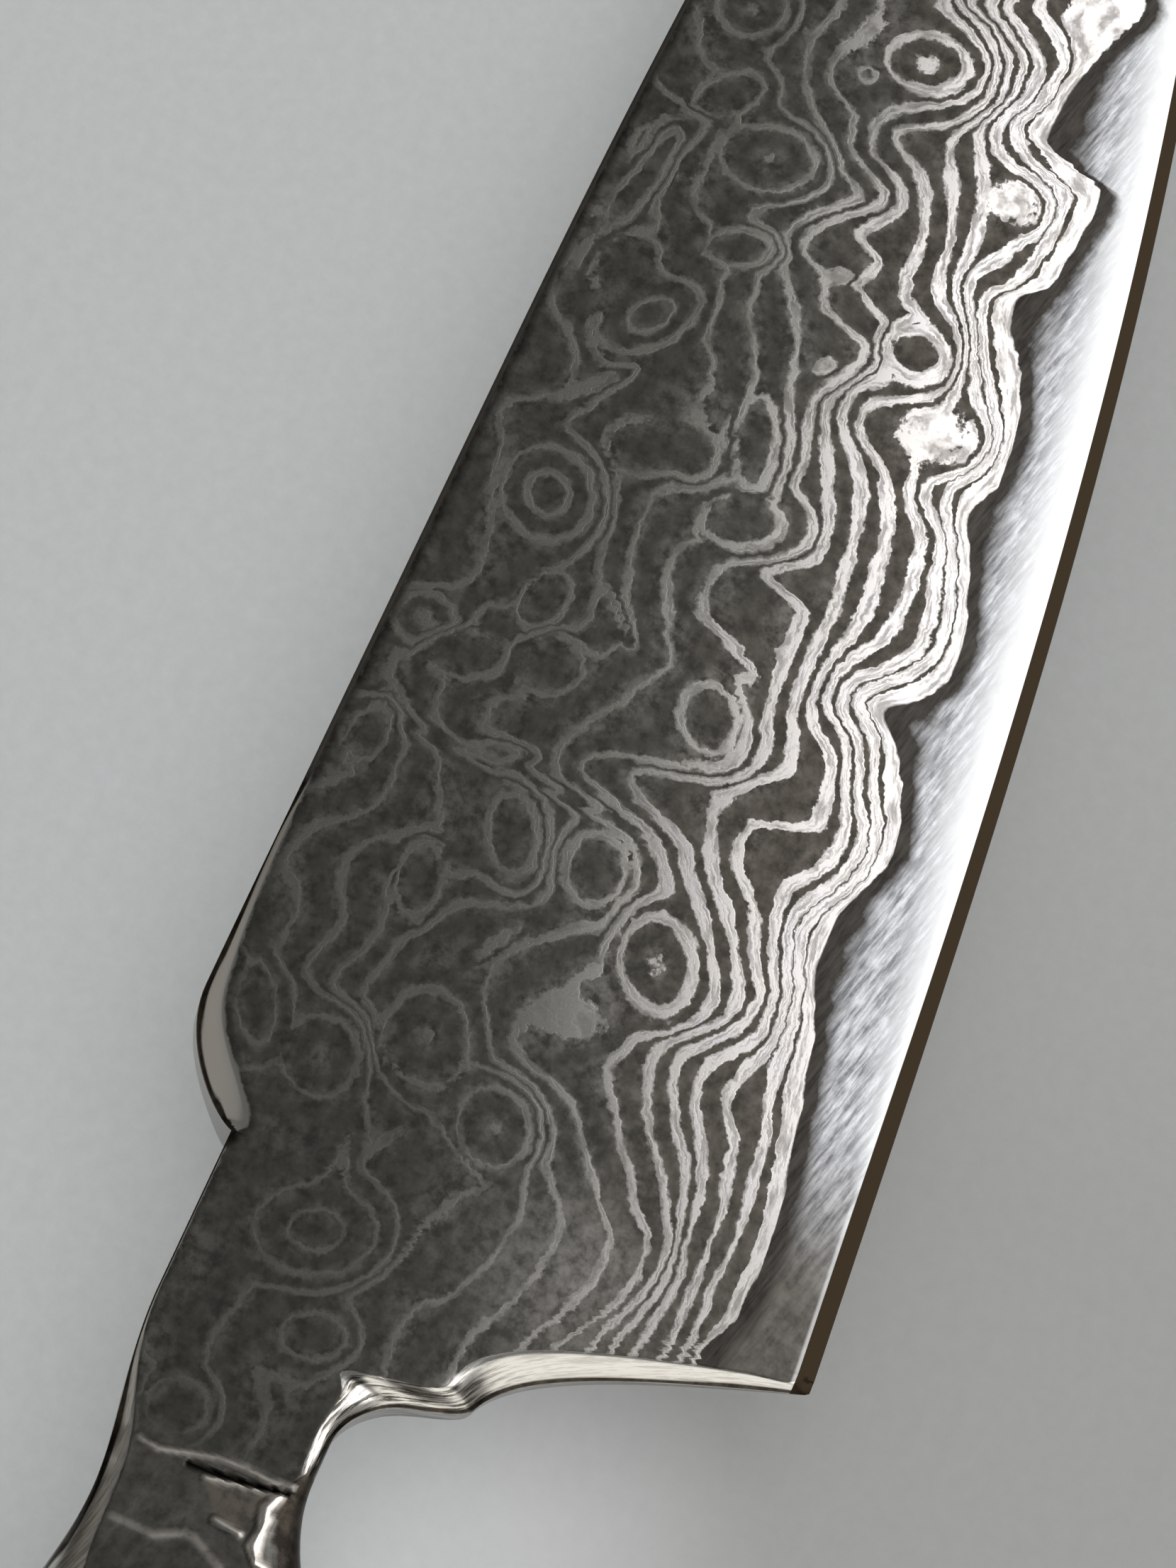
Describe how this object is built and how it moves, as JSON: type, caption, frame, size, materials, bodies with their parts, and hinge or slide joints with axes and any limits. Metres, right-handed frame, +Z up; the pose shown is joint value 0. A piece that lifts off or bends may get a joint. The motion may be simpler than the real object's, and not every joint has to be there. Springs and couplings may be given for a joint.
{
  "type": "paring knife",
  "caption": "Small kitchen knife with a pattern-welded blade, a faceted forged bolster and a riveted full-tang handle.",
  "frame": {"origin": "middle of the knife's length and width, on the surface that it lies on", "axes": "+X to the tip, +Y to the spine, +Z up, from the left face that it lies on to the right face"},
  "size_m": [0.2054, 0.023, 0.012],
  "materials": {
    "pattern_steel": "forge-welded light and dark steel layers, etched, with a bright ground edge and polished choil",
    "rivet_steel": "stainless steel, ground flush and polished",
    "dark_wood": "dark close-grained hardwood, sanded and oiled",
    "black_fibre": "black vulcanised fibre, sanded edge",
    "polished_brass": "brass, ground flush and polished",
    "polished_copper": "copper, ground flush and polished",
    "black_resin": "black casting resin, ground flush and polished"
  },
  "bodies": {
    "root": {"blade": "pattern_steel", "right_scale": "dark_wood", "left_scale": "dark_wood", "right_liner": "black_fibre", "left_liner": "black_fibre", "front_rivet_pin": "rivet_steel", "front_rivet_sleeve": "rivet_steel", "rear_rivet_pin": "rivet_steel", "rear_rivet_sleeve": "rivet_steel", "mosaic_tube": "polished_brass", "mosaic_resin": "black_resin", "mosaic_rod_1": "polished_copper", "mosaic_rod_2": "polished_brass", "mosaic_rod_3": "polished_brass", "mosaic_rod_4": "polished_brass", "mosaic_rod_5": "polished_brass", "mosaic_rod_6": "polished_brass", "mosaic_rod_7": "polished_brass"}
  },
  "joints": []
}
